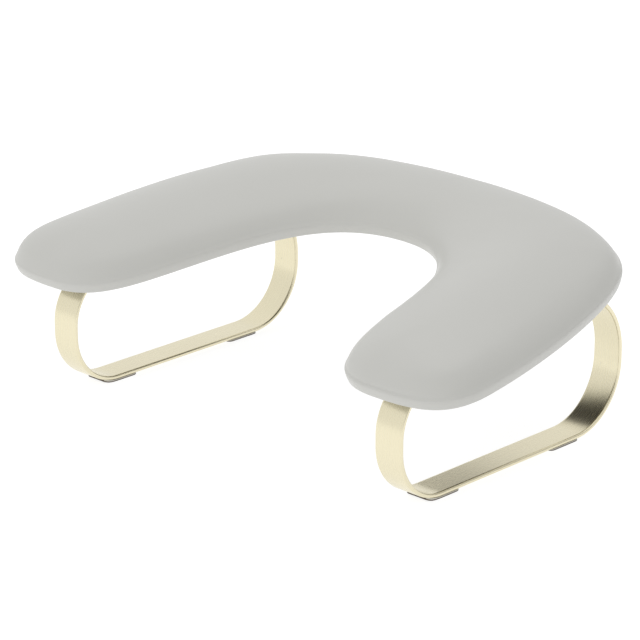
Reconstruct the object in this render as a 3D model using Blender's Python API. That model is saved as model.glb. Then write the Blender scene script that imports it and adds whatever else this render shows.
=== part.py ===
# A manicure hand rest: a U-shaped padded cushion on two bent steel strip loops.
# Metres, +Z up. X runs across the rest, -Y is the side of the two open arms, and the
# origin is under the middle of the rest, on the surface that it stands on.

import math

import bmesh
import bpy
from mathutils import Matrix, Vector

for old_object in list(bpy.data.objects):
    bpy.data.objects.remove(old_object, do_unlink=True)

# The cushion's outline, seen square to its underside
CUSHION_WIDTH = 0.4146
CUSHION_DEPTH = 0.2708
BRIDGE_DEPTH = 0.0832          # front to back across the middle
ARM_WIDTH = 0.1137             # across an arm where its inner side begins to turn into the tip
SHOULDER_IN = 0.0423           # from the side to the middle of the rounded back corner
SHOULDER_DOWN = 0.0485         # from the back edge to the middle of the rounded back corner
SHOULDER_TURN = math.radians(49.5)
TIP_OUTER_TURN = 0.0428        # from the tip's end to where its outer corner begins
TIP_INNER_TURN = 0.0683        # from the tip's end to where its inner corner begins
TIP_PEAK_IN = 0.0600           # from the side to the farthest point of the tip
ARM_INNER_LEAN = math.radians(12.3)

# How full each curve of the outline is: a handle's length for each length of its chord
BACK_FULLNESS = 0.35
SHOULDER_FULLNESS = 0.31
SIDE_TOP_FULLNESS = 0.21
SIDE_FULLNESS = 0.32
TIP_OUTER_FULLNESS = 0.56
TIP_END_FULLNESS = 0.44
TIP_INNER_FULLNESS = 0.47
INNER_ARM_FULLNESS = 0.42
INNER_BACK_FULLNESS = 0.48

# The cushion's cross-section, measured up from the underside of its cover
CUSHION_TILT = math.radians(7.1)   # the cushion is higher at the back
CROWN_HEIGHT = 0.0292
WALL_HEIGHT = 0.0040           # up to the widest point
BOTTOM_TUCK = 0.0005           # how far the bottom edge sits in from the widest point
COVER_THICKNESS = 0.0012
HEM_WIDTH = 0.0180             # the cover turned in under the board
BOARD_THICKNESS = 0.0060
BACKING_THICKNESS = 0.0006
BACKING_INSET = 0.0080
CLEARANCE = 0.0003             # between neighbouring pieces

# The two legs, each one bent steel strip
LEG_SPACING = 0.3000           # between the middles of the strips
LEG_LENGTH = 0.2167
LEG_FORWARD = 0.0127           # how far the legs' middle is in front of the cushion's
LEG_TOP_HEIGHT = 0.0944        # of the strip's top under the middle of the cushion
STRIP_WIDTH = 0.0220
STRIP_THICKNESS = 0.0030
BEND_FRONT_BOTTOM = 0.0390
BEND_FRONT_TOP = 0.0360
BEND_BACK_BOTTOM = 0.0445
BEND_BACK_TOP = 0.0480

# The thin pads under the ends of each strip's flat bottom run
FOOT_LENGTH = 0.0275
FOOT_THICKNESS = 0.0010
FOOT_SPACING = 0.1180          # between the middles of the front and the back pad
FOOT_FORWARD = 0.0074          # how far the pads' middle is in front of the leg's

# The screws that hold the legs, and the threaded inserts in the board
SCREW_SPACING = 0.0800         # between the front and the back screw of a leg
SCREW_FORWARD = 0.0110         # how far the screws' middle is in front of the leg's
SCREW_DIAMETER = 0.0050
SCREW_HEAD_DIAMETER = 0.0095
SCREW_HEAD_HEIGHT = 0.0027
SCREW_END_DEPTH = 0.0010       # from the screw's end up to the top of the board
SCREW_HEAD_ROUND = 0.0014
SCREW_END_BEVEL = 0.0005
SOCKET_ACROSS = 0.0030
SOCKET_DEPTH = 0.0015
INSERT_WALL = 0.0012
INSERT_RECESS = 0.0005         # from the insert's top up to the top of the board

# How finely the round shapes are cut
OUTER_STEPS = 18               # along the outer side, from the middle to the tip
TIP_STEPS = 8                  # along each half of the tip
DOME_ANGLES = [math.radians(angle) for angle in (9, 19, 30, 43, 58, 74)]
BEND_STEPS = 10
SCREW_STEPS = 24
FOOT_STEPS = 5
CURVE_SAMPLES = 200
SHARP_ANGLE = math.radians(35)
CUTTER_SPARE = 0.0010          # how far a cutter reaches past the faces that it cuts

# Heights in the cushion's own frame, whose zero is the plane of the legs' top
BACKING_BOTTOM = CLEARANCE
COVER_BOTTOM = BACKING_BOTTOM + BACKING_THICKNESS + CLEARANCE
BOARD_BOTTOM = COVER_BOTTOM + COVER_THICKNESS + CLEARANCE
BOARD_TOP = BOARD_BOTTOM + BOARD_THICKNESS
FOAM_BOTTOM = BOARD_TOP + CLEARANCE
WALL_TOP = COVER_BOTTOM + WALL_HEIGHT
CROWN_TOP = COVER_BOTTOM + CROWN_HEIGHT
LINING_TOP = CROWN_TOP - COVER_THICKNESS

# Sizes that follow from the others
STRIP_BOTTOM_HEIGHT = FOOT_THICKNESS + CLEARANCE
SCREW_HOLE = SCREW_DIAMETER + 2 * CLEARANCE
CUSHION_SHIFT = WALL_TOP * math.sin(CUSHION_TILT)   # keeps the tilted outline over the origin


def heading(angle):
    return Vector((math.cos(angle), math.sin(angle)))


def curve_between(start, start_heading, start_fullness, end, end_heading, end_fullness):
    """Points along one Bezier curve, without its last point."""
    chord = (end - start).length
    first_handle = start + heading(start_heading) * chord * start_fullness
    second_handle = end - heading(end_heading) * chord * end_fullness
    points = []
    for step in range(CURVE_SAMPLES):
        t = step / CURVE_SAMPLES
        s = 1 - t
        points.append(start * s**3 + first_handle * 3 * s * s * t
                      + second_handle * 3 * s * t * t + end * t**3)
    return points


def spaced_evenly(points, steps):
    """The same curve with equal steps along its length."""
    lengths = [0.0]
    for before, after in zip(points, points[1:]):
        lengths.append(lengths[-1] + (after - before).length)
    spaced = []
    index = 0
    for step in range(steps + 1):
        target = lengths[-1] * step / steps
        while index < len(points) - 2 and lengths[index + 1] < target:
            index += 1
        part = (target - lengths[index]) / (lengths[index + 1] - lengths[index])
        spaced.append(points[index].lerp(points[index + 1], part))
    return spaced


def cushion_outline():
    """The closed outline from the middle of the back edge, by the right arm, to the left."""
    side = CUSHION_WIDTH / 2
    back = CUSHION_DEPTH / 2
    right, down, left = 0.0, -math.pi / 2, -math.pi
    back_middle = Vector((0, back))
    shoulder = Vector((side - SHOULDER_IN, back - SHOULDER_DOWN))
    widest = Vector((side, TIP_OUTER_TURN - back))
    peak = Vector((side - TIP_PEAK_IN, -back))
    inner_turn = Vector((side - ARM_WIDTH, TIP_INNER_TURN - back))
    inner_middle = Vector((0, back - BRIDGE_DEPTH))
    inner_heading = -3 * math.pi / 2 + ARM_INNER_LEAN

    outer = curve_between(back_middle, right, BACK_FULLNESS,
                          shoulder, -SHOULDER_TURN, SHOULDER_FULLNESS)
    outer += curve_between(shoulder, -SHOULDER_TURN, SIDE_TOP_FULLNESS,
                           widest, down, SIDE_FULLNESS)
    tip_outer = curve_between(widest, down, TIP_OUTER_FULLNESS, peak, left, TIP_END_FULLNESS)
    tip_inner = curve_between(peak, left, TIP_END_FULLNESS,
                              inner_turn, inner_heading, TIP_INNER_FULLNESS)
    inner = curve_between(inner_turn, inner_heading, INNER_ARM_FULLNESS,
                          inner_middle, left, INNER_BACK_FULLNESS)
    half = spaced_evenly(outer + [widest], OUTER_STEPS)[:-1]
    half += spaced_evenly(tip_outer + [peak], TIP_STEPS)[:-1]
    half += spaced_evenly(tip_inner + [inner_turn], TIP_STEPS)[:-1]
    half += spaced_evenly(inner + [inner_middle], OUTER_STEPS)
    mirrored = [Vector((-point.x, point.y)) for point in reversed(half[1:-1])]
    return half + mirrored


def inset(outline, distance):
    """The outline moved inwards, along the normal at each of its points."""
    moved = []
    count = len(outline)
    for index, point in enumerate(outline):
        along = outline[(index + 1) % count] - outline[index - 1]
        along.normalize()
        moved.append(point + Vector((along.y, -along.x)) * distance)
    return moved


def spine_index(index, count):
    """Which spine point a point of the outline leans towards: 0 is the middle of the
    bridge, positive numbers run along the right arm and negative ones along the left."""
    half = count // 2
    if index > half:
        return -spine_index(count - index, count)
    return min(index, half - index, OUTER_STEPS)


def spine_of(outline):
    """The middle line of the U, point by point, as a dictionary."""
    half = len(outline) // 2
    spine = {}
    for step in range(OUTER_STEPS + 1):
        middle = (outline[step] + outline[half - step]) / 2
        spine[step] = middle
        spine[-step] = Vector((-middle.x, middle.y))
    return spine


def add_ring(mesh, points, height):
    return [mesh.verts.new((point.x, point.y, height)) for point in points]


def bridge(mesh, lower, upper):
    count = len(lower)
    for index in range(count):
        following = (index + 1) % count
        mesh.faces.new((lower[index], lower[following], upper[following], upper[index]))


def close_over(mesh, ring, outline, height):
    """Faces from a ring to the middle line of the U."""
    spine = {step: mesh.verts.new((point.x, point.y, height))
             for step, point in spine_of(outline).items()}
    count = len(ring)
    for index in range(count):
        following = (index + 1) % count
        near = spine[spine_index(index, count)]
        far = spine[spine_index(following, count)]
        corners = [ring[index], ring[following], far, near]
        if far is near:
            corners.pop()
        mesh.faces.new(corners)


def dome_points(outline, angle):
    """The outline as it leans towards the middle line at one angle of the dome."""
    spine = spine_of(outline)
    count = len(outline)
    return [point.lerp(spine[spine_index(index, count)], 1 - math.cos(angle))
            for index, point in enumerate(outline)]


def dome_angle(height, wall_top, crown):
    """The dome's angle at a height; below the wall's top it is still zero."""
    return math.asin(max(0.0, height - wall_top) / (crown - wall_top))


def add_dome(mesh, first_ring, outline, wall_top, crown, start_angle=0.0):
    """A rounded top from a first ring up to the crown, a quarter of an ellipse across."""
    ring = first_ring
    for angle in DOME_ANGLES:
        if angle <= start_angle:
            continue
        height = wall_top + (crown - wall_top) * math.sin(angle)
        upper = add_ring(mesh, dome_points(outline, angle), height)
        bridge(mesh, ring, upper)
        ring = upper
    close_over(mesh, ring, outline, crown)


def round_ring(mesh, radius, height):
    turns = [2 * math.pi * step / SCREW_STEPS for step in range(SCREW_STEPS)]
    return [mesh.verts.new((radius * math.cos(turn), radius * math.sin(turn), height))
            for turn in turns]


def hexagon_ring(mesh, across, height):
    """A hexagon with as many points as a round ring, so that the two can be bridged."""
    sixth = math.pi / 3
    ring = []
    for step in range(SCREW_STEPS):
        turn = 2 * math.pi * step / SCREW_STEPS
        radius = across / 2 / math.cos(turn % sixth - sixth / 2)
        ring.append(mesh.verts.new((radius * math.cos(turn), radius * math.sin(turn), height)))
    return ring


def bridge_all(mesh, rings):
    for lower, upper in zip(rings, rings[1:]):
        bridge(mesh, lower, upper)


def make_material(name, colour, roughness, metallic=0.0):
    material = bpy.data.materials.new(name)
    material.use_nodes = True
    shader = material.node_tree.nodes["Principled BSDF"]
    shader.inputs["Base Color"].default_value = (*colour, 1.0)
    shader.inputs["Roughness"].default_value = roughness
    shader.inputs["Metallic"].default_value = metallic
    return material


def add_object(name, mesh, parent):
    data = bpy.data.meshes.new(name)
    mesh.to_mesh(data)
    mesh.free()
    thing = bpy.data.objects.new(name, data)
    bpy.context.collection.objects.link(thing)
    thing.parent = parent
    return thing


def make_piece(name, mesh, material, parent, place=(0, 0, 0)):
    bmesh.ops.recalc_face_normals(mesh, faces=mesh.faces)
    piece = add_object(name, mesh, parent)
    piece.location = place
    piece.data.materials.append(material)
    piece.data.shade_smooth()
    piece.data.set_sharp_from_angle(angle=SHARP_ANGLE)
    return piece


def make_empty(name, parent=None):
    empty = bpy.data.objects.new(name, None)
    bpy.context.collection.objects.link(empty)
    empty.parent = parent
    return empty


def cut_hole(piece, frame, place, diameter, bottom, top):
    """A round hole right through a piece, square to the cushion's plane."""
    mesh = bmesh.new()
    bmesh.ops.create_cone(mesh, cap_ends=True, segments=SCREW_STEPS,
                          depth=top - bottom + 2 * CUTTER_SPARE,
                          radius1=diameter / 2, radius2=diameter / 2)
    cutter = add_object(f"{piece.name}_hole_{len(piece.modifiers)}", mesh, frame)
    cutter.location = (*place, (bottom + top) / 2)
    cutter.hide_render = True
    cutter.display_type = 'WIRE'
    boolean = piece.modifiers.new(cutter.name, 'BOOLEAN')
    boolean.object = cutter
    boolean.solver = 'EXACT'


def make_slab(name, outline, bottom, top, material, frame):
    mesh = bmesh.new()
    lower = add_ring(mesh, outline, bottom)
    upper = add_ring(mesh, outline, top)
    bridge(mesh, lower, upper)
    mesh.faces.new(lower)
    mesh.faces.new(upper)
    return make_piece(name, mesh, material, frame)


def make_cover(outline, material, frame):
    """The cover: its top and sides, and the hem turned in under the board."""
    lining = inset(outline, COVER_THICKNESS)
    hem_edge = inset(outline, HEM_WIDTH)
    hem_top = COVER_BOTTOM + COVER_THICKNESS
    mesh = bmesh.new()
    outer_hem = add_ring(mesh, hem_edge, COVER_BOTTOM)
    outer_corner = add_ring(mesh, inset(outline, BOTTOM_TUCK), COVER_BOTTOM)
    outer_wall = add_ring(mesh, outline, WALL_TOP)
    bridge_all(mesh, [outer_hem, outer_corner, outer_wall])
    add_dome(mesh, outer_wall, outline, WALL_TOP, CROWN_TOP)
    inner_hem = add_ring(mesh, hem_edge, hem_top)
    inner_corner = add_ring(mesh, inset(lining, BOTTOM_TUCK), hem_top)
    inner_wall = add_ring(mesh, lining, WALL_TOP)
    bridge_all(mesh, [outer_hem, inner_hem, inner_corner, inner_wall])
    add_dome(mesh, inner_wall, lining, WALL_TOP, LINING_TOP)
    return make_piece("cushion_cover", mesh, material, frame)


def make_foam(outline, material, frame):
    """The foam, which lies on the board and fills the cover."""
    side = inset(outline, COVER_THICKNESS + CLEARANCE)
    crown = LINING_TOP - CLEARANCE
    start_angle = dome_angle(FOAM_BOTTOM, WALL_TOP, crown)
    mesh = bmesh.new()
    lower = add_ring(mesh, dome_points(side, start_angle), FOAM_BOTTOM)
    mesh.faces.new(lower)
    add_dome(mesh, lower, side, WALL_TOP, crown, start_angle)
    return make_piece("cushion_foam", mesh, material, frame)


def board_outline(outline):
    """Inside the cover's wall, also where that leans in at the board's top."""
    lining = inset(outline, COVER_THICKNESS)
    leaning = dome_points(lining, dome_angle(BOARD_TOP, WALL_TOP, LINING_TOP))
    return inset(leaning, BOTTOM_TUCK + CLEARANCE)


def bent_corner(corner, before, after, radius):
    """The middle of a bend, the direction that it starts in from there, and its turn."""
    turn = before.angle(after)
    outwards = Vector((before.y, -before.x))
    middle = corner - before * radius * math.tan(turn / 2) - outwards * radius
    return middle, outwards, turn


def leg_top(y):
    """The height of a leg's top above its bottom face, under the cushion's plane."""
    over_plane = (y - LEG_FORWARD - CUSHION_SHIFT) * math.tan(CUSHION_TILT)
    return LEG_TOP_HEIGHT - STRIP_BOTTOM_HEIGHT + over_plane


def strip_loops():
    """The outer and the inner side of a leg's loop, as points along Y and Z."""
    front, back = -LEG_LENGTH / 2, LEG_LENGTH / 2
    corners = [Vector((front, 0)), Vector((back, 0)),
               Vector((back, leg_top(back))), Vector((front, leg_top(front)))]
    radii = [BEND_FRONT_BOTTOM, BEND_BACK_BOTTOM, BEND_BACK_TOP, BEND_FRONT_TOP]
    outer, inner = [], []
    for index, (corner, radius) in enumerate(zip(corners, radii)):
        before = (corner - corners[index - 1]).normalized()
        after = (corners[(index + 1) % len(corners)] - corner).normalized()
        middle, outwards, turn = bent_corner(corner, before, after, radius)
        for step in range(BEND_STEPS + 1):
            direction = Matrix.Rotation(turn * step / BEND_STEPS, 2) @ outwards
            outer.append(middle + direction * radius)
            inner.append(middle + direction * (radius - STRIP_THICKNESS))
    return outer, inner


def make_leg(name, x, material, parent):
    outer, inner = strip_loops()
    half = STRIP_WIDTH / 2
    mesh = bmesh.new()
    edges = [(outer, -half), (outer, half), (inner, half), (inner, -half)]
    rings = [[mesh.verts.new((across, point.x, point.y)) for point in points]
             for points, across in edges]
    bridge_all(mesh, rings + rings[:1])
    return make_piece(name, mesh, material, parent, (x, -LEG_FORWARD, STRIP_BOTTOM_HEIGHT))


def strip_underside(y):
    """How far a leg's underside has risen at a place along it, where its bends begin."""
    for end, radius in ((-LEG_LENGTH / 2, BEND_FRONT_BOTTOM), (LEG_LENGTH / 2, BEND_BACK_BOTTOM)):
        past_bend = radius - abs(end - y)
        if past_bend > 0:
            return radius - math.sqrt(radius**2 - past_bend**2)
    return 0.0


def make_foot(name, x, middle, material, parent):
    """A thin pad, flat below, whose top follows the strip."""
    half_width, half_length = STRIP_WIDTH / 2, FOOT_LENGTH / 2
    mesh = bmesh.new()
    slices = []
    for step in range(FOOT_STEPS + 1):
        y = middle - half_length + FOOT_LENGTH * step / FOOT_STEPS
        top = FOOT_THICKNESS + strip_underside(y)
        slices.append([mesh.verts.new((across, y, height)) for across, height in
                       ((-half_width, 0), (half_width, 0), (half_width, top), (-half_width, top))])
    bridge_all(mesh, slices)
    mesh.faces.new(slices[0])
    mesh.faces.new(slices[-1])
    return make_piece(name, mesh, material, parent, (x, -LEG_FORWARD, 0))


def make_screw(name, place, material, frame):
    """A socket head screw, its head against the inner face of the strip."""
    head_top = -STRIP_THICKNESS - CLEARANCE
    head_bottom = head_top - SCREW_HEAD_HEIGHT
    end = BOARD_TOP - SCREW_END_DEPTH
    head, shank = SCREW_HEAD_DIAMETER / 2, SCREW_DIAMETER / 2
    mesh = bmesh.new()
    rings = [hexagon_ring(mesh, SOCKET_ACROSS, head_bottom + SOCKET_DEPTH),
             hexagon_ring(mesh, SOCKET_ACROSS, head_bottom),
             round_ring(mesh, head - SCREW_HEAD_ROUND, head_bottom)]
    for angle in (30, 60, 90):
        around = math.radians(angle)
        rings.append(round_ring(mesh, head - SCREW_HEAD_ROUND * (1 - math.sin(around)),
                                head_bottom + SCREW_HEAD_ROUND * (1 - math.cos(around))))
    rings += [round_ring(mesh, head, head_top), round_ring(mesh, shank, head_top),
              round_ring(mesh, shank, end - SCREW_END_BEVEL),
              round_ring(mesh, shank - SCREW_END_BEVEL, end)]
    bridge_all(mesh, rings)
    mesh.faces.new(rings[0])
    mesh.faces.new(rings[-1])
    return make_piece(name, mesh, material, frame, (*place, 0))


def make_insert(name, place, material, frame):
    """A threaded sleeve let into the board."""
    bore = SCREW_HOLE / 2
    body = bore + INSERT_WALL
    top = BOARD_TOP - INSERT_RECESS
    mesh = bmesh.new()
    rings = [round_ring(mesh, body, BOARD_BOTTOM), round_ring(mesh, body, top),
             round_ring(mesh, bore, top), round_ring(mesh, bore, BOARD_BOTTOM)]
    bridge_all(mesh, rings + rings[:1])
    return make_piece(name, mesh, material, frame, (*place, 0))


leather = make_material("cover_leather", (0.56, 0.56, 0.54), 0.48)
white_foam = make_material("foam_white", (0.85, 0.82, 0.70), 0.95)
plywood = make_material("board_plywood", (0.58, 0.41, 0.24), 0.70)
dark_fabric = make_material("backing_fabric", (0.03, 0.03, 0.03), 0.90)
gold_steel = make_material("leg_gold_steel", (0.83, 0.75, 0.56), 0.28, 1.0)
rubber = make_material("foot_rubber", (0.10, 0.09, 0.08), 0.85)
screw_steel = make_material("screw_steel", (0.60, 0.60, 0.60), 0.30, 1.0)
brass = make_material("insert_brass", (0.72, 0.55, 0.28), 0.35, 1.0)

# The cushion's frame: its plane lies on the legs' tops and rises towards the back
hand_rest = make_empty("hand_rest")
cushion = make_empty("cushion_frame", hand_rest)
cushion.location = (0, CUSHION_SHIFT, LEG_TOP_HEIGHT)
cushion.rotation_euler = (CUSHION_TILT, 0, 0)

cushion_edge = cushion_outline()
make_cover(cushion_edge, leather, cushion)
make_foam(cushion_edge, white_foam, cushion)
board = make_slab("cushion_board", board_outline(cushion_edge), BOARD_BOTTOM, BOARD_TOP,
                  plywood, cushion)
backing = make_slab("underside_backing", inset(cushion_edge, BACKING_INSET), BACKING_BOTTOM,
                    BACKING_BOTTOM + BACKING_THICKNESS, dark_fabric, cushion)

for side_name, side in (("left", -1), ("right", 1)):
    leg_x = side * LEG_SPACING / 2
    leg = make_leg(f"leg_{side_name}", leg_x, gold_steel, hand_rest)
    for end_name, end in (("front", -1), ("back", 1)):
        name = f"{side_name}_{end_name}"
        foot_middle = end * FOOT_SPACING / 2 - FOOT_FORWARD
        make_foot(f"foot_{name}", leg_x, foot_middle, rubber, hand_rest)
        screw_y = end * SCREW_SPACING / 2 - SCREW_FORWARD - LEG_FORWARD - CUSHION_SHIFT
        place = (leg_x, screw_y / math.cos(CUSHION_TILT))
        make_screw(f"screw_{name}", place, screw_steel, cushion)
        make_insert(f"insert_{name}", place, brass, cushion)
        cut_hole(leg, cushion, place, SCREW_HOLE, -STRIP_THICKNESS, 0)
        cut_hole(backing, cushion, place, SCREW_HOLE, BACKING_BOTTOM,
                 BACKING_BOTTOM + BACKING_THICKNESS)
        cut_hole(board, cushion, place, SCREW_HOLE + 2 * (INSERT_WALL + CLEARANCE),
                 BOARD_BOTTOM, BOARD_TOP)
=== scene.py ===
import math

import bmesh
import bpy
from mathutils import Matrix, Vector


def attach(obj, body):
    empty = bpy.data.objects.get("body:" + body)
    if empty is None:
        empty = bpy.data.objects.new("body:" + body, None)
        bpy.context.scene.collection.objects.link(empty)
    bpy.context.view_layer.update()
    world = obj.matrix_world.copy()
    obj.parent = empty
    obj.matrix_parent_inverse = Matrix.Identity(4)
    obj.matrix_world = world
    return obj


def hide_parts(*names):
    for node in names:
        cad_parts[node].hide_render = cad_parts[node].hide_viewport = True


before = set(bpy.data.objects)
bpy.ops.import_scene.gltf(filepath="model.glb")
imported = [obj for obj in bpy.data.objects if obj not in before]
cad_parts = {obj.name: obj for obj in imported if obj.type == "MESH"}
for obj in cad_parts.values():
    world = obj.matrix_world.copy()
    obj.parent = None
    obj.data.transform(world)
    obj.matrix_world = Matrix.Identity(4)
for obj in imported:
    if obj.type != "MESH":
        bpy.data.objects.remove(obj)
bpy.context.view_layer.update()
scene = bpy.context.scene
scene.view_settings.view_transform = "Standard"
print("frame loaded")


# Mesh helpers

def addRing(mesh, points):
    return [mesh.verts.new(point) for point in points]


def bridgeRings(mesh, lower, upper):
    for index in range(len(lower)):
        following = (index + 1) % len(lower)
        mesh.faces.new((lower[index], lower[following], upper[following], upper[index]))


def makeObject(name, mesh, material, place=None):
    bmesh.ops.recalc_face_normals(mesh, faces=mesh.faces)
    if place is not None:
        mesh.transform(place)
    data = bpy.data.meshes.new(name)
    mesh.to_mesh(data)
    mesh.free()
    data.materials.append(material)
    data.shade_smooth()
    piece = bpy.data.objects.new(name, data)
    scene.collection.objects.link(piece)
    return piece


def keepShape(piece):
    # the modifiers' result becomes the mesh
    graph = bpy.context.evaluated_depsgraph_get()
    data = bpy.data.meshes.new_from_object(piece.evaluated_get(graph))
    piece.modifiers.clear()
    piece.data = data


def standFor(piece, slot, *nodes):
    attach(piece, "root")
    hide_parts(*nodes)


def smoothStep(value):
    return value * value * (3 - 2 * value)


# Node helpers

def feed(tree, socket, value):
    # a node's output is linked, anything else becomes the socket's own value
    if isinstance(value, bpy.types.NodeSocket):
        tree.links.new(value, socket)
    else:
        socket.default_value = value


def addNode(tree, kind, inputs=None, **settings):
    node = tree.nodes.new(kind)
    for name, value in settings.items():
        setattr(node, name, value)
    for name, value in (inputs or {}).items():
        feed(tree, node.inputs[name], value)
    return node


def addMath(tree, operation, first, second, third=0.5, clamp=False):
    inputs = {0: first, 1: second}
    if operation == "MULTIPLY_ADD":
        inputs[2] = third
    return addNode(tree, "ShaderNodeMath", inputs, operation=operation, use_clamp=clamp).outputs[0]


def addRange(tree, value, low, high, toLow=0.0, toHigh=1.0):
    inputs = {"Value": value, "From Min": low, "From Max": high, "To Min": toLow, "To Max": toHigh}
    return addNode(tree, "ShaderNodeMapRange", inputs).outputs["Result"]


def addMix(tree, factor, first, second):
    # the colour sockets of a mix node have the numbers 6 and 7, and 2 on its output side
    node = addNode(tree, "ShaderNodeMix", {0: factor}, data_type="RGBA")
    for index, value in ((6, first), (7, second)):
        feed(tree, node.inputs[index], (*value, 1.0) if isinstance(value, tuple) else value)
    return node.outputs[2]


def startGroup(name, inputs, outputs):
    group = bpy.data.node_groups.new(name, "ShaderNodeTree")
    for label, value in inputs.items():
        kind = "NodeSocketVector" if isinstance(value, tuple) else "NodeSocketFloat"
        socket = group.interface.new_socket(label, in_out="INPUT", socket_type=kind)
        socket.default_value = value
    for label in outputs:
        group.interface.new_socket(label, in_out="OUTPUT", socket_type="NodeSocketFloat")
    return group, addNode(group, "NodeGroupInput"), addNode(group, "NodeGroupOutput")


def useGroup(tree, group, inputs):
    # puts a shared effect into a material and gives back its one output
    return addNode(tree, "ShaderNodeGroup", inputs, node_tree=group).outputs[0]


def startMaterial(name, roughness, metallic=0.0, **sockets):
    material = bpy.data.materials.new(name)
    material.use_nodes = True
    shader = material.node_tree.nodes["Principled BSDF"]
    shader.inputs["Roughness"].default_value = roughness
    shader.inputs["Metallic"].default_value = metallic
    for label, value in sockets.items():
        shader.inputs[label.replace("_", " ")].default_value = value
    return material, material.node_tree, shader


def objectPlace(tree):
    return addNode(tree, "ShaderNodeTexCoord").outputs["Object"]


def addBump(tree, shader, height, strength, distance):
    inputs = {"Height": height, "Strength": strength, "Distance": distance}
    bump = addNode(tree, "ShaderNodeBump", inputs)
    tree.links.new(bump.outputs["Normal"], shader.inputs["Normal"])


# Effects that several materials share

def makeMottle():
    inputs = {"Vector": (0.0, 0.0, 0.0), "Scale": 20.0, "Contrast": 0.3}
    group, given, result = startGroup("softMottle", inputs, ["Amount"])
    noise = addNode(group, "ShaderNodeTexNoise",
                    {"Vector": given.outputs["Vector"], "Scale": given.outputs["Scale"],
                     "Detail": 3.0, "Roughness": 0.55})
    centred = addMath(group, "SUBTRACT", noise.outputs["Fac"], 0.5)
    amount = addMath(group, "MULTIPLY", centred, given.outputs["Contrast"])
    group.links.new(addMath(group, "ADD", amount, 0.5, clamp=True), result.inputs["Amount"])
    return group


def makeFineGrain():
    inputs = {"Vector": (0.0, 0.0, 0.0), "Cells": 1400.0, "Speckle": 5000.0}
    group, given, result = startGroup("fineGrain", inputs, ["Height"])
    cells = addNode(group, "ShaderNodeTexVoronoi",
                    {"Vector": given.outputs["Vector"], "Scale": given.outputs["Cells"]},
                    feature="SMOOTH_F1")
    speckle = addNode(group, "ShaderNodeTexNoise",
                      {"Vector": given.outputs["Vector"], "Scale": given.outputs["Speckle"],
                       "Detail": 2.0})
    pebbles = addMath(group, "MULTIPLY", cells.outputs["Distance"], -0.7)
    height = addMath(group, "MULTIPLY_ADD", speckle.outputs["Fac"], 0.3, pebbles)
    group.links.new(height, result.inputs["Height"])
    return group


def makeEdgeWearAndHighlight():
    inputs = {"Vector": (0.0, 0.0, 0.0), "Start": 0.52, "End": 0.60}
    group, given, result = startGroup("edgeWearAndHighlight", inputs, ["Mask"])
    # pale at sharply curved edges: wear, and on the gold legs also a painted edge highlight
    point = addNode(group, "ShaderNodeNewGeometry").outputs["Pointiness"]
    edge = addNode(group, "ShaderNodeMapRange",
                   {"Value": point, "From Min": given.outputs["Start"],
                    "From Max": given.outputs["End"]})
    noise = addNode(group, "ShaderNodeTexNoise",
                    {"Vector": given.outputs["Vector"], "Scale": 260.0, "Detail": 4.0})
    broken = addRange(group, noise.outputs["Fac"], 0.3, 0.6)
    mask = addMath(group, "MULTIPLY", edge.outputs["Result"], broken, clamp=True)
    group.links.new(mask, result.inputs["Mask"])
    return group


def makeFineLines():
    # noise drawn out along one direction: brushing, wood grain, threads
    inputs = {"Vector": (0.0, 0.0, 0.0), "Stretch": (40.0, 4000.0, 4000.0), "Detail": 4.0}
    group, given, result = startGroup("fineLines", inputs, ["Streak"])
    drawnOut = addNode(group, "ShaderNodeVectorMath",
                       {0: given.outputs["Vector"], 1: given.outputs["Stretch"]},
                       operation="MULTIPLY")
    lines = addNode(group, "ShaderNodeTexNoise",
                    {"Vector": drawnOut.outputs[0], "Scale": 1.0,
                     "Detail": given.outputs["Detail"], "Roughness": 0.6})
    group.links.new(lines.outputs["Fac"], result.inputs["Streak"])
    return group


def makeSpecks():
    inputs = {"Vector": (0.0, 0.0, 0.0), "Scale": 160.0, "Size": 0.06, "Rarity": 0.8}
    group, given, result = startGroup("tinySpecks", inputs, ["Mask"])
    dots = addNode(group, "ShaderNodeTexVoronoi",
                   {"Vector": given.outputs["Vector"], "Scale": given.outputs["Scale"]})
    few = addMath(group, "GREATER_THAN", dots.outputs["Color"], given.outputs["Rarity"])
    near = addMath(group, "LESS_THAN", dots.outputs["Distance"], given.outputs["Size"])
    group.links.new(addMath(group, "MULTIPLY", few, near), result.inputs["Mask"])
    return group


mottle = makeMottle()
fineGrain = makeFineGrain()
edgeWearAndHighlight = makeEdgeWearAndHighlight()
fineLines = makeFineLines()
tinySpecks = makeSpecks()
print("shader groups built")


# The cushion, in its own tilted frame: x across, y to the back, z up from the legs' tops

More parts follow.
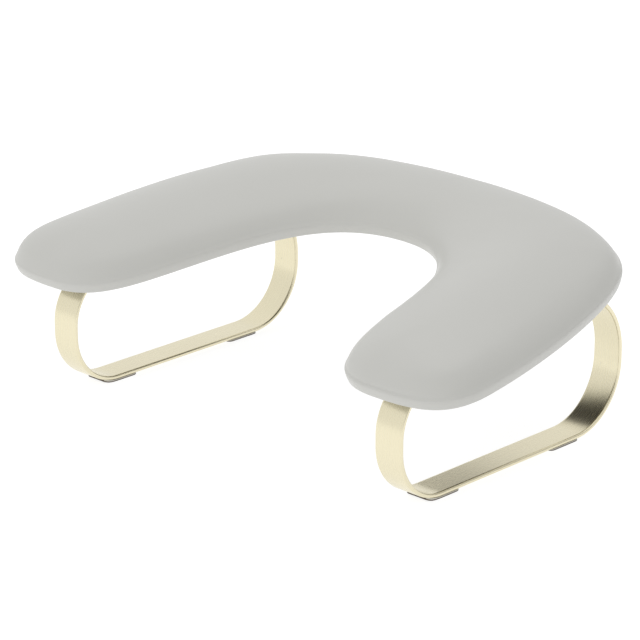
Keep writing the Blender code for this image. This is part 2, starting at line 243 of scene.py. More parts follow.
cushion = {
    "width": 0.4146, "depth": 0.2708, "bridgeDepth": 0.0832, "armWidth": 0.1137,
    "shoulderIn": 0.0420, "shoulderDown": 0.0482, "shoulderTurn": math.radians(49.5),
    "tipOuterTurn": 0.0428, "tipInnerTurn": 0.0683, "tipPeakIn": 0.0600,
    "armInnerLean": math.radians(12.3),
    "backFullness": 0.35, "shoulderFullness": 0.31, "sideTopFullness": 0.21,
    "sideFullness": 0.32, "tipOuterFullness": 0.56, "tipEndFullness": 0.44,
    "tipInnerFullness": 0.47, "innerArmFullness": 0.405, "innerBackFullness": 0.46,
    "tilt": math.radians(7.1),
    "height": 0.0944,              # of the legs' tops under the middle of the cushion
    "bottom": 0.0012,
    "widest": 0.0040,              # above the bottom
    "wall": 0.0064,                # above the bottom, where the board's edge ends
    "crown": 0.0288,
    "turnShare": (0.57, 0.38, 0.43),   # of the rise, in the quick turn: outer side, tips, inner side
    "turnWidth": 0.0050,
    # how far the dome's rings are from the edge, as parts of the way to the middle line
    "domeParts": (0.010, 0.026, 0.048, 0.076, 0.110, 0.15, 0.20,
                  0.26, 0.34, 0.43, 0.53, 0.64, 0.76, 0.88),
    "outerSteps": 60, "tipSteps": 18, "curveSamples": 400,
    "cornerFill": 0.0020,          # at the right inner corner
    "cornerStep": 40, "cornerReach": 10,   # in outline points: from the inner side's start, and across
}
cushion["wallTop"] = cushion["bottom"] + cushion["wall"]
cushion["shift"] = (cushion["bottom"] + cushion["widest"]) * math.sin(cushion["tilt"])
cushionPlace = (Matrix.Translation((0, cushion["shift"], cushion["height"]))
                @ Matrix.Rotation(cushion["tilt"], 4, "X"))


def curveBetween(start, startAngle, startFullness, end, endAngle, endFullness):
    chord = (end - start).length
    first = start + Vector((math.cos(startAngle), math.sin(startAngle))) * chord * startFullness
    second = end - Vector((math.cos(endAngle), math.sin(endAngle))) * chord * endFullness
    points = []
    for step in range(cushion["curveSamples"]):
        t = step / cushion["curveSamples"]
        s = 1 - t
        points.append(start * s**3 + first * 3 * s * s * t + second * 3 * s * t * t + end * t**3)
    return points


def spacedEvenly(points, steps):
    lengths = [0.0]
    for before, after in zip(points, points[1:]):
        lengths.append(lengths[-1] + (after - before).length)
    spaced = []
    index = 0
    for step in range(steps + 1):
        target = lengths[-1] * step / steps
        while index < len(points) - 2 and lengths[index + 1] < target:
            index += 1
        part = (target - lengths[index]) / (lengths[index + 1] - lengths[index])
        spaced.append(points[index].lerp(points[index + 1], part))
    return spaced


def cushionOutline():
    side = cushion["width"] / 2
    back = cushion["depth"] / 2
    right, down, left = 0.0, -math.pi / 2, -math.pi
    backMiddle = Vector((0, back))
    shoulder = Vector((side - cushion["shoulderIn"], back - cushion["shoulderDown"]))
    widest = Vector((side, cushion["tipOuterTurn"] - back))
    peak = Vector((side - cushion["tipPeakIn"], -back))
    innerTurn = Vector((side - cushion["armWidth"], cushion["tipInnerTurn"] - back))
    innerMiddle = Vector((0, back - cushion["bridgeDepth"]))
    shoulderAngle = -cushion["shoulderTurn"]
    innerAngle = -3 * math.pi / 2 + cushion["armInnerLean"]
    outer = curveBetween(backMiddle, right, cushion["backFullness"],
                         shoulder, shoulderAngle, cushion["shoulderFullness"])
    outer += curveBetween(shoulder, shoulderAngle, cushion["sideTopFullness"],
                          widest, down, cushion["sideFullness"])
    tipOuter = curveBetween(widest, down, cushion["tipOuterFullness"],
                            peak, left, cushion["tipEndFullness"])
    tipInner = curveBetween(peak, left, cushion["tipEndFullness"],
                            innerTurn, innerAngle, cushion["tipInnerFullness"])
    inner = curveBetween(innerTurn, innerAngle, cushion["innerArmFullness"],
                         innerMiddle, left, cushion["innerBackFullness"])
    half = spacedEvenly(outer + [widest], cushion["outerSteps"])[:-1]
    half += spacedEvenly(tipOuter + [peak], cushion["tipSteps"])[:-1]
    half += spacedEvenly(tipInner + [innerTurn], cushion["tipSteps"])[:-1]
    half += spacedEvenly(inner + [innerMiddle], cushion["outerSteps"])
    return half + [Vector((-point.x, point.y)) for point in reversed(half[1:-1])]


def inwardsOf(outline):
    inwards = []
    for index in range(len(outline)):
        along = (outline[(index + 1) % len(outline)] - outline[index - 1]).normalized()
        inwards.append(Vector((along.y, -along.x)))
    return inwards


def insetOutline(outline, distance):
    return [point + inwards * distance for point, inwards in zip(outline, inwardsOf(outline))]


def spineStep(index, count):
    # the point of the middle line that an outline point leans to: 0 is the bridge's middle
    half = count // 2
    if index > half:
        return -spineStep(count - index, count)
    return min(index, half - index, cushion["outerSteps"])


def spineOf(outline):
    half = len(outline) // 2
    spine = {}
    for step in range(cushion["outerSteps"] + 1):
        middle = (outline[step] + outline[half - step]) / 2
        spine[step] = middle
        spine[-step] = Vector((-middle.x, middle.y))
    return spine


def atHeight(points, height):
    return [Vector((point.x, point.y, height)) for point in points]


def closeOver(mesh, ring, spinePoints):
    spine = {step: mesh.verts.new(point) for step, point in spinePoints.items()}
    for index in range(len(ring)):
        following = (index + 1) % len(ring)
        near = spine[spineStep(index, len(ring))]
        far = spine[spineStep(following, len(ring))]
        corners = [ring[index], ring[following], far, near]
        if far is near:
            corners.pop()
        mesh.faces.new(corners)


def nearTip(index, count):
    # 1 at a tip's end, 0 on the sides; and whether the point is past the end, on the inner side
    past = (min(index, count - index) - cushion["outerSteps"]) / cushion["tipSteps"] - 1
    return smoothStep(max(0.0, 1 - abs(past))), past > 0


def turnShareAt(index, count):
    outer, tip, inner = cushion["turnShare"]
    near, past = nearTip(index, count)
    side = inner if past else outer
    return side + (tip - side) * near


def domeRing(outline, part, crown):
    # from the wall's top inwards: a quick turn, then a gentle rise to the middle line
    spine = spineOf(outline)
    points = []
    rise = crown - cushion["wallTop"]
    for index, point in enumerate(outline):
        middle = spine[spineStep(index, len(outline))]
        power = (point - middle).length / cushion["turnWidth"]
        share = turnShareAt(index, len(outline))
        flat = point.lerp(middle, part)
        climbed = share * (1 - (1 - part) ** power) + (1 - share) * (1 - (1 - part) ** 2)
        height = cushion["wallTop"] + rise * climbed
        points.append(Vector((flat.x, flat.y, height)))
    return points


def fillCorner(outline):
    # the cover is a little fuller in the right inner corner
    middle = cushion["outerSteps"] + 2 * cushion["tipSteps"] + cushion["cornerStep"]
    filled = []
    for index, (point, inwards) in enumerate(zip(outline, inwardsOf(outline))):
        amount = cushion["cornerFill"] * math.exp(-((index - middle) / cushion["cornerReach"]) ** 2)
        filled.append(point - inwards * amount)
    return filled


cushionEdge = fillCorner(cushionOutline())


# The cover: its top and sides in one, drawn down over the board and turned in under it

cover = {
    "thickness": 0.0012,
    "colour": (0.510, 0.509, 0.482), "lightColour": (0.534, 0.533, 0.506),
    "roughness": 0.38, "roughSpread": 0.04,
    "startIn": 0.0005,             # the start is this much smaller all round
    "edgeOut": 0.0002,             # and the dome's edge this much less
    "mostSwell": 0.0030,           # no point moves farther than this
    "pressure": 4.0, "frames": 20, "smoothing": 12,
    # how far in and how high above the bottom: the turned-in part, the rolled rim, the wall
    "lowerRings": [(0.0250, 0.0), (0.0120, -0.0001), (0.0074, -0.0005), (0.0044, -0.0010),
                   (0.0026, -0.0013), (0.0016, -0.0011), (0.0010, -0.0004), (0.0006, 0.0008),
                   (0.0002, 0.0022), (-0.0002, 0.0036), (-0.0004, 0.0050), (-0.0003, 0.0060),
                   (0.0, 0.0068)],
    "crease": (0.0014, 0.0004),    # how much farther in the last of them is at the right and left tip
}


def makeLeather():
    material, tree, shader = startMaterial("coverLeather", cover["roughness"], Specular_IOR_Level=0.6)
    place = objectPlace(tree)
    broad = useGroup(tree, mottle, {"Vector": place, "Scale": 9.0, "Contrast": 1.1})
    colour = addMix(tree, broad, cover["colour"], cover["lightColour"])
    tree.links.new(colour, shader.inputs["Base Color"])
    patches = useGroup(tree, mottle, {"Vector": place, "Scale": 60.0, "Contrast": 1.0})
    rough = addRange(tree, patches, 0.0, 1.0, cover["roughness"] - cover["roughSpread"],
                     cover["roughness"] + cover["roughSpread"])
    tree.links.new(rough, shader.inputs["Roughness"])
    grain = useGroup(tree, fineGrain, {"Vector": place, "Cells": 1500.0, "Speckle": 5200.0})
    addBump(tree, shader, grain, strength=0.25, distance=0.0001)
    return material


def coverShape(startIn):
    rings = [atHeight(insetOutline(cushionEdge, inwards), cushion["bottom"] + height)
             for inwards, height in cover["lowerRings"]]
    count = len(cushionEdge)
    for index, inwards in enumerate(inwardsOf(cushionEdge)):
        deep = cover["crease"][0 if index < count / 2 else 1] * nearTip(index, count)[0]
        rings[-1][index] += inwards.to_3d() * deep
    edge = insetOutline(cushionEdge, startIn - cover["edgeOut"])
    crown = cushion["bottom"] + cushion["crown"] - startIn
    rings += [domeRing(edge, part, crown) for part in cushion["domeParts"]]
    spine = {step: Vector((point.x, point.y, crown)) for step, point in spineOf(edge).items()}
    return rings, spine


def swellCover(piece, heldCount):
    # cloth under pressure from the foam, held from the turned-in part up to the wall's top
    held = piece.vertex_groups.new(name="held")
    held.add(range(heldCount), 1.0, "REPLACE")
    cloth = piece.modifiers.new("swell", "CLOTH")
    settings = cloth.settings
    settings.vertex_group_mass = "held"
    settings.quality = 6
    settings.mass = 0.01
    settings.tension_stiffness = settings.compression_stiffness = 6
    settings.shear_stiffness = 3
    settings.bending_stiffness = 0.3
    settings.use_pressure = True
    settings.uniform_pressure_force = cover["pressure"]
    settings.effector_weights.gravity = 0
    cloth.collision_settings.use_collision = False
    cloth.point_cache.frame_start = 1
    cloth.point_cache.frame_end = cover["frames"]
    for number in range(1, cover["frames"] + 1):
        scene.frame_set(number)
    posed = piece.evaluated_get(bpy.context.evaluated_depsgraph_get())
    vertices = piece.data.vertices
    shifts = [moved.co - vertex.co for moved, vertex in zip(posed.to_mesh().vertices, vertices)]
    posed.to_mesh_clear()
    piece.modifiers.clear()
    scene.frame_set(1)
    neighbours = [[] for vertex in vertices]
    for edge in piece.data.edges:
        first, second = edge.vertices
        neighbours[first].append(second)
        neighbours[second].append(first)
    for turn in range(cover["smoothing"]):     # thick leather has no small ripples
        eased = [sum((shifts[other] for other in near), Vector()) / len(near) for near in neighbours]
        shifts[heldCount:] = [(old + new) / 2
                              for old, new in zip(shifts[heldCount:], eased[heldCount:])]
    most = cover["mostSwell"]
    for vertex, shift in zip(vertices, shifts):
        if shift.length > most:
            shift.length = most
        vertex.co += shift
    lengths = sorted(shift.length * 1000 for shift in shifts[heldCount:])
    middle = lengths[len(lengths) // 2]
    print(f"cover swollen: middle shift {middle:.2f} mm, largest {lengths[-1]:.2f} mm")


def makeCover():
    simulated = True
    rings, spine = coverShape(cover["startIn"] if simulated else 0.0)
    mesh = bmesh.new()
    lower = addRing(mesh, rings[0])
    for points in rings[1:]:
        upper = addRing(mesh, points)
        bridgeRings(mesh, lower, upper)
        lower = upper
    closeOver(mesh, lower, spine)
    piece = makeObject("cushionCover", mesh, makeLeather())
    if simulated:
        swellCover(piece, len(cover["lowerRings"]) * len(cushionEdge))
    return piece


coverPiece = makeCover()
coverPoints = [vertex.co.copy() for vertex in coverPiece.data.vertices]
coverNormals = [vertex.normal.copy() for vertex in coverPiece.data.vertices]
shell = coverPiece.modifiers.new("shell", "SOLIDIFY")
shell.thickness = cover["thickness"]
shell.offset = -1
finer = coverPiece.modifiers.new("finer", "SUBSURF")
finer.levels = finer.render_levels = 1
keepShape(coverPiece)
coverPiece.data.transform(cushionPlace)
standFor(coverPiece, "cover", "cushion_cover")
print("cover made")


# The foam under it, flat where it lies on the board

foam = {
    "bottom": 0.0090, "gap": 0.0015,
    "leastWall": 0.0004,           # a ring of the cover closer to the bottom than this is left out
    "colour": (0.72, 0.68, 0.54), "paleColour": (0.80, 0.77, 0.64),
}


def makeFoamMaterial():
    material, tree, shader = startMaterial("padFoam", 0.92, Specular_IOR_Level=0.2)
    place = objectPlace(tree)
    tone = useGroup(tree, mottle, {"Vector": place, "Scale": 30.0, "Contrast": 1.4})
    colour = addMix(tree, tone, foam["colour"], foam["paleColour"])
    tree.links.new(colour, shader.inputs["Base Color"])
    pores = useGroup(tree, fineGrain, {"Vector": place, "Cells": 900.0, "Speckle": 2600.0})
    addBump(tree, shader, pores, strength=0.8, distance=0.0004)
    return material


def makeFoam():
    count = len(cushionEdge)
    inside = [point - normal * foam["gap"] for point, normal in zip(coverPoints, coverNormals)]
    ringCount = len(cover["lowerRings"]) + len(cushion["domeParts"])
    rings = [inside[ring * count:(ring + 1) * count] for ring in range(ringCount)]
    first = next(index for index, ring in enumerate(rings)
                 if min(point.z for point in ring) > foam["bottom"] + foam["leastWall"])
    base = []
    for below, above in zip(rings[first - 1], rings[first]):
        part = (foam["bottom"] - below.z) / (above.z - below.z)
        base.append(below.lerp(above, part))
    crown = inside[ringCount * count:]
    steps = list(spineOf(cushionEdge))
    mesh = bmesh.new()
    lowest = lower = addRing(mesh, base)
    for points in rings[first:]:
        upper = addRing(mesh, points)
        bridgeRings(mesh, lower, upper)
        lower = upper
    closeOver(mesh, lower, dict(zip(steps, crown)))
    flat = spineOf([point.to_2d() for point in base])
    closeOver(mesh, lowest, {step: Vector((point.x, point.y, foam["bottom"]))
                             for step, point in flat.items()})
    return makeObject("cushionFoam", mesh, makeFoamMaterial(), cushionPlace)


foamPiece = makeFoam()
standFor(foamPiece, "foam", "cushion_foam")
print("foam made")


# The legs: a flat strip bent into a closed loop that is higher at the back

legs = {
    "spacing": 0.3000, "length": 0.2167, "forward": 0.0127, "height": 0.0944,
    "floorGap": 0.0013, "width": 0.0220, "thickness": 0.0030,
    "bends": (0.0390, 0.0445, 0.0480, 0.0360),   # front and back bottom, back and front top
    "edgeRound": (0.0015, 0.0011),   # across and deep
    "edgeSteps": 6,
    "edgeSupport": 0.0004,           # a row of points this far past each rounding keeps the flats flat
    "brushShift": 3,                 # so that the two legs' brushing differs
    "bendStep": 0.0012, "straightStep": 0.0060,
    "colour": (0.762, 0.700, 0.502), "paleColour": (0.820, 0.762, 0.570),
    # the pale edge colour is partly wear and partly a painted highlight along the strip's rounded
    # edges
    "wornAndHighlightColour": (0.95, 0.93, 0.84), "speckColour": (0.45, 0.42, 0.34), "speckStrength": 0.35,
    "roughness": 0.27, "roughSpread": 0.02,
    "drilled": (-0.0045, 0.0010),    # the drill's ends, from the legs' top plane
}

screws = {"spacing": 0.0800, "forward": 0.0110, "hole": 0.0056, "holeSegments": 32}


def screwPlaces():
    # on the cushion's plane, for each side, front and back
    places = []
    for side in (-1, 1):
        for end in (-1, 1):
            y = end * screws["spacing"] / 2 - screws["forward"] - legs["forward"] - cushion["shift"]
            places.append((side * legs["spacing"] / 2, y / math.cos(cushion["tilt"])))
    return places


def cutHoles(piece, low, high):
    for x, y in screwPlaces():
        mesh = bmesh.new()
        bmesh.ops.create_cone(mesh, cap_ends=True, segments=screws["holeSegments"], depth=high - low,
                              radius1=screws["hole"] / 2, radius2=screws["hole"] / 2)
        place = cushionPlace @ Matrix.Translation((x, y, (low + high) / 2))
        drill = makeObject("drill", mesh, piece.data.materials[0], place)
        hole = piece.modifiers.new("hole", "BOOLEAN")
        hole.object = drill
        hole.solver = "EXACT"
        bpy.context.view_layer.update()
        keepShape(piece)
        bpy.data.objects.remove(drill)


def makeGoldSteel():
    material, tree, shader = startMaterial("goldSteel", legs["roughness"], 1.0)
    strip = addNode(tree, "ShaderNodeUVMap", uv_map="stripMap").outputs["UV"]
    place = objectPlace(tree)
    brushed = useGroup(tree, fineLines,
                       {"Vector": strip, "Stretch": (9.0, 2400.0, 1.0), "Detail": 2.0})
    cloudy = useGroup(tree, mottle, {"Vector": place, "Scale": 14.0, "Contrast": 1.2})
    wornAndHighlit = useGroup(tree, edgeWearAndHighlight, {"Vector": place, "Start": 0.53, "End": 0.62})
    specks = useGroup(tree, tinySpecks,
                      {"Vector": place, "Scale": 170.0, "Size": 0.10, "Rarity": 0.75})
    toned = addMix(tree, cloudy, legs["colour"], legs["paleColour"])
    # pale edges: partly worn plating, partly a painted highlight
    edgeWornAndHighlit = addMix(tree, wornAndHighlit, toned, legs["wornAndHighlightColour"])
    faded = addMath(tree, "MULTIPLY", specks, legs["speckStrength"])
    spotted = addMix(tree, faded, edgeWornAndHighlit, legs["speckColour"])
    tree.links.new(spotted, shader.inputs["Base Color"])
    rough = addRange(tree, brushed, 0.3, 0.7, legs["roughness"] - legs["roughSpread"],
                     legs["roughness"] + legs["roughSpread"])
    tree.links.new(rough, shader.inputs["Roughness"])
    addBump(tree, shader, brushed, strength=0.007, distance=0.00002)
    return material


def legTop(y):
    # height of the strip's top side over its bottom side, along the cushion's plane
    rise = (y - legs["forward"] - cushion["shift"]) * math.tan(cushion["tilt"])
    return legs["height"] - legs["floorGap"] + rise


def stripPath():
    # (point on the outer side, outward direction) all the way round, in the plane of the loop
    front, back = -legs["length"] / 2, legs["length"] / 2
    corners = [Vector((front, 0)), Vector((back, 0)),
               Vector((back, legTop(back))), Vector((front, legTop(front)))]
    bends = []
    for index, (corner, radius) in enumerate(zip(corners, legs["bends"])):
        before = (corner - corners[index - 1]).normalized()
        after = (corners[(index + 1) % 4] - corner).normalized()
        turn = before.angle(after)
        outwards = Vector((before.y, -before.x))
        middle = corner - before * radius * math.tan(turn / 2) - outwards * radius
        steps = max(8, round(radius * turn / legs["bendStep"]))
        bends.append([])
        for step in range(steps + 1):
            direction = Matrix.Rotation(turn * step / steps, 2) @ outwards
            bends[-1].append((middle + direction * radius, direction))
    path = []
    for bend, following in zip(bends, bends[1:] + bends[:1]):
        path += bend
        start, end = bend[-1][0], following[0][0]
        steps = max(2, round((end - start).length / legs["straightStep"]))
        path += [(start.lerp(end, step / steps), bend[-1][1]) for step in range(1, steps)]
    return path


def stripSection():
    # across the strip, with rounded edges: (sideways, depth below the outer side)
    half, deep = legs["width"] / 2, legs["thickness"]
    roundAcross, roundDeep = legs["edgeRound"]
    section = []
    for side, depth, start in ((half, 0, 0), (half, deep, 1), (-half, deep, 2), (-half, 0, 3)):
        centre = Vector((side - math.copysign(roundAcross, side),
                         roundDeep if depth == 0 else deep - roundDeep))
        arc = []
        for step in range(legs["edgeSteps"] + 1):
            angle = -math.pi / 2 + (start + step / legs["edgeSteps"]) * math.pi / 2
            arc.append(centre + Vector((roundAcross * math.cos(angle), roundDeep * math.sin(angle))))
        ahead = (arc[0] - centre).orthogonal().normalized()
        if ahead.dot(arc[-1] - arc[0]) > 0:
            ahead = -ahead
        section.append(arc[0] + ahead * legs["edgeSupport"])
        section += arc
        onward = (arc[-1] - centre).orthogonal().normalized()
        if onward.dot(arc[-1] - arc[0]) < 0:
            onward = -onward
        section.append(arc[-1] + onward * legs["edgeSupport"])
    return section


def makeLeg(name, x, material):
    path, section = stripPath(), stripSection()
    mesh = bmesh.new()
    rings, along, across = [], [0.0], [0.0]
    for index, (point, outwards) in enumerate(path):
        ring = []
        for sideways, depth in section:
            place = point - outwards * depth
            ring.append(mesh.verts.new((x + sideways, place.x - legs["forward"],
                                        place.y + legs["floorGap"])))
        rings.append(ring)
        along.append(along[-1] + (path[(index + 1) % len(path)][0] - point).length)
    for index, corner in enumerate(section):
        across.append(across[-1] + (section[(index + 1) % len(section)] - corner).length)
    strip = mesh.loops.layers.uv.new("stripMap")
    for row in range(len(rings)):
        for column in range(len(section)):
            nextRow, nextColumn = (row + 1) % len(rings), (column + 1) % len(section)
            face = mesh.faces.new((rings[row][column], rings[row][nextColumn],
                                   rings[nextRow][nextColumn], rings[nextRow][column]))
            places = ((row, column), (row, column + 1), (row + 1, column + 1), (row + 1, column))
            for loop, (far, wide) in zip(face.loops, places):
                loop[strip].uv = (along[far] + legs["brushShift"] * x, across[wide])
    piece = makeObject(name, mesh, material)
    cutHoles(piece, *legs["drilled"])
    return piece


goldSteel = makeGoldSteel()
for sideName, side in (("Left", -1), ("Right", 1)):
    leg = makeLeg(f"leg{sideName}", side * legs["spacing"] / 2, goldSteel)
    standFor(leg, "leg", f"leg_{sideName.lower()}")
print("legs made")


# The dark cloth under the cushion, stretched between its stapled edge and the legs

backing = {
    "inset": (0.0100, 0.0220),       # from the outline, on the outer and on the inner side
    "low": 0.0003, "high": 0.0009, "cloth": 0.0004, "sag": 0.0012,
    "sagOver": 0.03, "sagShare": 0.3,   # the sag is full this far from a leg, and this far in
    "drilled": (-0.0010, 0.0012),
    "rings": (0.0, 0.03, 0.10, 0.22, 0.38, 0.56, 0.78),
    "colour": (0.020, 0.019, 0.018), "paleColour": (0.040, 0.038, 0.035),
}


def makeBackingCloth():
    material, tree, shader = startMaterial("backingCloth", 0.95, Specular_IOR_Level=0.15)
    place = objectPlace(tree)
    fibres = useGroup(tree, fineLines,
                      {"Vector": place, "Stretch": (900.0, 2600.0, 900.0), "Detail": 5.0})
    bonds = useGroup(tree, tinySpecks,
                     {"Vector": place, "Scale": 700.0, "Size": 0.32, "Rarity": 0.0})
    colour = addMix(tree, addRange(tree, fibres, 0.3, 0.7), backing["colour"], backing["paleColour"])
    tree.links.new(colour, shader.inputs["Base Color"])
    height = addMath(tree, "MULTIPLY_ADD", bonds, -0.5, fibres)
    addBump(tree, shader, height, strength=0.6, distance=0.0002)
    return material


def backingOutline():
    # the turned-in leather shows wider along the inner side than along the outer side
    outer, inner = backing["inset"]
    count = len(cushionEdge)
    edge = []
    for index, (point, inwards) in enumerate(zip(cushionEdge, inwardsOf(cushionEdge))):
        steps = min(index, count - index) - cushion["outerSteps"]
        share = smoothStep(min(max(steps / (2 * cushion["tipSteps"]), 0.0), 1.0))
        edge.append(point + inwards * (outer + (inner - outer) * share))
    return edge


def clothSag(point, fromEdge):
    # nothing at the edge and on the legs, most between them
    fromLeg = abs(abs(point.x) - legs["spacing"] / 2) - legs["width"] / 2
    free = min(max(fromLeg / backing["sagOver"], 0.0), 1.0) * min(fromEdge / backing["sagShare"], 1.0)
    return backing["sag"] * smoothStep(free)


def makeBacking():
    edge = backingOutline()
    spine = spineOf(edge)
    height = (backing["low"] + backing["high"]) / 2
    mesh = bmesh.new()
    lower = None
    for part in backing["rings"]:
        points = [point.lerp(spine[spineStep(index, len(edge))], part)
                  for index, point in enumerate(edge)]
        upper = addRing(mesh, [Vector((point.x, point.y, height - clothSag(point, part)))
                               for point in points])
        if lower:
            bridgeRings(mesh, lower, upper)
        lower = upper
    closeOver(mesh, lower, {step: Vector((point.x, point.y, height - clothSag(point, 1.0)))
                            for step, point in spine.items()})
    piece = makeObject("underBacking", mesh, makeBackingCloth(), cushionPlace)
    cloth = piece.modifiers.new("cloth", "SOLIDIFY")
    cloth.thickness = backing["cloth"]
    cloth.offset = 0
    bpy.context.view_layer.update()
    keepShape(piece)
    cutHoles(piece, *backing["drilled"])
    return piece, edge


backingPiece, backingEdge = makeBacking()
standFor(backingPiece, "backing", "underside_backing")
print("backing made")


# The pads under the legs: thin rubber on a paler adhesive layer, bent with the strip

feet = {
    "length": 0.0285, "spacing": 0.1175, "forward": 0.0072, "width": 0.0216,
    "rubber": 0.00085, "gap": 0.00005, "corner": 0.0035, "edge": 0.00015, "rows": 16,
    "droop": 0.45,                 # how much less than the strip the pad bends up
    "colour": (0.090, 0.072, 0.056), "paleColour": (0.145, 0.120, 0.096),
    "wornAndHighlightColour": (0.18, 0.15, 0.13),
    "tapeColour": (0.55, 0.53, 0.46), "paleTapeColour": (0.66, 0.64, 0.57),
}


def makeRubber():
    material, tree, shader = startMaterial("footRubber", 0.8, Specular_IOR_Level=0.3)
    place = objectPlace(tree)
    dust = useGroup(tree, mottle, {"Vector": place, "Scale": 120.0, "Contrast": 1.5})
    wornAndHighlit = useGroup(tree, edgeWearAndHighlight, {"Vector": place, "Start": 0.52, "End": 0.65})
    toned = addMix(tree, dust, feet["colour"], feet["paleColour"])
    tree.links.new(addMix(tree, wornAndHighlit, toned, feet["wornAndHighlightColour"]), shader.inputs["Base Color"])
    tree.links.new(addRange(tree, dust, 0.0, 1.0, 0.72, 0.88), shader.inputs["Roughness"])
    pebbles = useGroup(tree, fineGrain, {"Vector": place, "Cells": 2200.0, "Speckle": 7000.0})
    addBump(tree, shader, pebbles, strength=0.5, distance=0.0001)
    return material


def makeTape():
    material, tree, shader = startMaterial("adhesiveTape", 0.6, Specular_IOR_Level=0.4)
    place = objectPlace(tree)
    tone = useGroup(tree, mottle, {"Vector": place, "Scale": 400.0, "Contrast": 1.4})
    colour = addMix(tree, tone, feet["tapeColour"], feet["paleTapeColour"])
    tree.links.new(colour, shader.inputs["Base Color"])
    tree.links.new(addRange(tree, tone, 0.0, 1.0, 0.5, 0.7), shader.inputs["Roughness"])
    return material


def underStrip(along):
    # a point on the strip's underside and its outward direction, past the straight part too
    half = legs["length"] / 2
    for side, radius in ((-1, legs["bends"][0]), (1, legs["bends"][1])):
        past = side * along - (half - radius)
        if past > 0:
            turn = past / radius
            point = Vector((side * (half - radius + radius * math.sin(turn)),
                            radius * (1 - math.cos(turn))))
            return point, Vector((side * math.sin(turn), -math.cos(turn)))
    return Vector((along, 0.0)), Vector((0.0, -1.0))


def makeFoot(name, x, middle, materials):
    mesh = bmesh.new()
    rows = []
    for step in range(feet["rows"] + 1):
        turn = math.pi * step / feet["rows"]
        along = middle - feet["length"] / 2 * math.cos(turn)   # close rows near both ends
        fromEnd = feet["length"] / 2 - abs(along - middle)
        short = max(0.0, feet["corner"] - fromEnd)
        half = feet["width"] / 2 - feet["corner"] + math.sqrt(feet["corner"] ** 2 - short ** 2)
        point, down = underStrip(along)
        deep = legs["floorGap"] + feet["droop"] * point.y
        section = []
        for across, depth in ((-half, feet["gap"]), (half, feet["gap"]), (half, deep - feet["rubber"]),
                              (half, deep - feet["edge"]), (half - feet["edge"], deep),
                              (feet["edge"] - half, deep), (-half, deep - feet["edge"]),
                              (-half, deep - feet["rubber"])):
            place = point + down * depth
            section.append((x + across, place.x - legs["forward"], place.y + legs["floorGap"]))
        rows.append(addRing(mesh, section))
    for before, after in zip(rows, rows[1:]):
        bridgeRings(mesh, before, after)
    ends = [mesh.faces.new(rows[0]), mesh.faces.new(rows[-1])]
    mesh.faces.ensure_lookup_table()
    sides = len(rows[0])
    for index, face in enumerate(mesh.faces):
        if face not in ends and index % sides in (0, 1, sides - 1):   # the tape: top and upper edges
            face.material_index = 1
    piece = makeObject(name, mesh, materials[0])
    piece.data.materials.append(materials[1])
    piece.data.set_sharp_from_angle(angle=math.radians(40))
    return piece


footMaterials = (makeRubber(), makeTape())
for sideName, side in (("Left", -1), ("Right", 1)):
    for endName, end in (("Front", -1), ("Back", 1)):
        middle = end * feet["spacing"] / 2 - feet["forward"]
        piece = makeFoot(f"foot{sideName}{endName}", side * legs["spacing"] / 2, middle, footMaterials)
        standFor(piece, "foot", f"foot_{sideName.lower()}_{endName.lower()}")
print("feet made")


# Finishes for the pieces that keep their own shape

board = {"colour": (0.46, 0.31, 0.16), "paleColour": (0.66, 0.49, 0.29), "ply": 0.0012}
zinc = {"colour": (0.52, 0.53, 0.54), "paleColour": (0.74, 0.75, 0.76),
        "roughness": 0.34, "roughSpread": 0.08, "turns": 4200.0}
brass = {"colour": (0.58, 0.40, 0.16), "paleColour": (0.80, 0.61, 0.30),
         "roughness": 0.38, "roughSpread": 0.08, "turns": 5200.0}


def makePlywood():
    material, tree, shader = startMaterial("boardPlywood", 0.7, Specular_IOR_Level=0.3)
    place = objectPlace(tree)
    level = addNode(tree, "ShaderNodeMapping", {"Vector": place, "Rotation": (-cushion["tilt"], 0, 0)},
                    vector_type="POINT").outputs[0]
    grain = useGroup(tree, fineLines,
                     {"Vector": level, "Stretch": (12.0, 260.0, 260.0), "Detail": 6.0})
    height = addNode(tree, "ShaderNodeSeparateXYZ", {"Vector": level}).outputs["Z"]
    plies = addMath(tree, "PINGPONG", height, board["ply"])
    layered = addMath(tree, "MULTIPLY_ADD", plies, 0.3 / board["ply"], grain)
    colour = addMix(tree, addRange(tree, layered, 0.3, 0.95), board["colour"], board["paleColour"])
    tree.links.new(colour, shader.inputs["Base Color"])
    tree.links.new(addRange(tree, grain, 0.3, 0.7, 0.62, 0.78), shader.inputs["Roughness"])
    addBump(tree, shader, grain, strength=0.4, distance=0.0002)
    return material


def makeTurnedMetal(name, look):
    # lathe-turned small metal: rings along its length, paler where handling wears it
    material, tree, shader = startMaterial(name, look["roughness"], 1.0)
    place = objectPlace(tree)
    rings = useGroup(tree, fineLines,
                     {"Vector": place, "Stretch": (60.0, 60.0, look["turns"]), "Detail": 3.0})
    wornAndHighlit = useGroup(tree, edgeWearAndHighlight, {"Vector": place, "Start": 0.51, "End": 0.60})
    toned = addMix(tree, rings, look["colour"], look["paleColour"])
    pale = tuple(min(1.0, value * 1.15) for value in look["paleColour"])
    tree.links.new(addMix(tree, wornAndHighlit, toned, pale), shader.inputs["Base Color"])
    rough = addRange(tree, rings, 0.3, 0.7, look["roughness"] - look["roughSpread"],
                     look["roughness"] + look["roughSpread"])
    tree.links.new(rough, shader.inputs["Roughness"])
    addBump(tree, shader, rings, strength=0.25, distance=0.0001)
    return material


def finishNodes(material, *names):
    for name in names:
        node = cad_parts[name]
        if not node.material_slots:
            node.data.materials.append(material)
        for place in node.material_slots:
            place.material = material


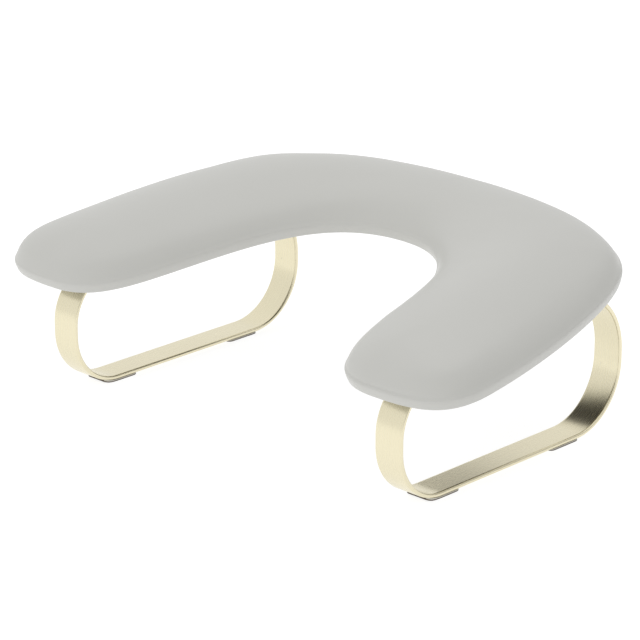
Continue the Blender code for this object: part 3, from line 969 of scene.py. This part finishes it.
corners = [f"{side}_{end}" for side in ("left", "right") for end in ("front", "back")]
finishNodes(makePlywood(), "cushion_board")
finishNodes(makeTurnedMetal("screwZinc", zinc), *[f"screw_{corner}" for corner in corners])
finishNodes(makeTurnedMetal("insertBrass", brass), *[f"insert_{corner}" for corner in corners])
print("finishes set")


# Studio: a pale floor that glows a little, a bright room and one large soft light overhead

studio = {
    "floorSize": 12.0, "floorColour": (0.30, 0.30, 0.30), "floorGlow": 0.84,
    "room": 0.95,
    # the room is darker low down on the photographer's right
    "shade": 0.60, "shadeSide": (0.83, 0.56, 0.0), "shadeFacing": (0.1, 0.8),
    "shadeStart": (-0.04, 0.08), "shadeEnd": (0.30, 0.62),   # heights: it comes in, it fades out
    "lightSize": 1.8, "lightPower": 4.5, "lightPlace": (-0.3, 0.5, 2.1),
}


def makeFloor():
    material, tree, shader = startMaterial("paleFloor", 0.9, Specular_IOR_Level=0.0,
                                           Emission_Color=(1.0, 1.0, 1.0, 1.0),
                                           Emission_Strength=studio["floorGlow"])
    place = objectPlace(tree)
    faint = useGroup(tree, mottle, {"Vector": place, "Scale": 1.5, "Contrast": 0.3})
    pale = tuple(value * 1.03 for value in studio["floorColour"])
    tree.links.new(addMix(tree, faint, studio["floorColour"], pale), shader.inputs["Base Color"])
    mesh = bmesh.new()
    bmesh.ops.create_grid(mesh, x_segments=4, y_segments=4, size=studio["floorSize"] / 2)
    floor = makeObject("studioFloor", mesh, material)


def makeRoom():
    world = bpy.data.worlds.new("brightRoom")
    world.use_nodes = True
    scene.world = world
    tree = world.node_tree
    toward = addNode(tree, "ShaderNodeTexCoord").outputs["Generated"]
    height = addNode(tree, "ShaderNodeSeparateXYZ", {"Vector": toward}).outputs["Z"]
    low = addMath(tree, "MULTIPLY", addRange(tree, height, *studio["shadeStart"]),
                  addRange(tree, height, *studio["shadeEnd"], 1.0, 0.0))
    facing = addNode(tree, "ShaderNodeVectorMath", {0: toward, 1: studio["shadeSide"]},
                     operation="DOT_PRODUCT").outputs["Value"]
    side = addRange(tree, facing, *studio["shadeFacing"], 0.0, studio["shade"])
    strength = addMath(tree, "SUBTRACT", studio["room"], addMath(tree, "MULTIPLY", low, side))
    tree.links.new(strength, tree.nodes["Background"].inputs["Strength"])
    tree.nodes["Background"].inputs["Color"].default_value = (1.0, 1.0, 1.0, 1.0)


def makeSoftLight():
    light = bpy.data.lights.new("softLight", "AREA")
    light.size = studio["lightSize"]
    light.energy = studio["lightPower"]
    lamp = bpy.data.objects.new("softLight", light)
    lamp.location = studio["lightPlace"]
    lamp.rotation_euler = (-lamp.location).to_track_quat("-Z", "Y").to_euler()
    scene.collection.objects.link(lamp)


makeFloor()
makeRoom()
makeSoftLight()
print("studio built")


# The camera, at the photograph's angle

view = {"azimuth": 44.044, "elevation": 19.478, "distance": 1.9367,
        "target": (0.00393, -0.0298, 0.06621), "lens": 163.63, "sensor": 36.0}


def makeCamera():
    around, up = math.radians(view["azimuth"]), math.radians(view["elevation"])
    toward = Vector((math.sin(around) * math.cos(up), -math.cos(around) * math.cos(up), math.sin(up)))
    camera = bpy.data.objects.new("camera", bpy.data.cameras.new("camera"))
    camera.data.lens = view["lens"]
    camera.data.sensor_width = view["sensor"]
    camera.location = Vector(view["target"]) + toward * view["distance"]
    camera.rotation_euler = (-toward).to_track_quat("-Z", "Y").to_euler()
    scene.collection.objects.link(camera)
    scene.camera = camera


makeCamera()
print("camera placed")
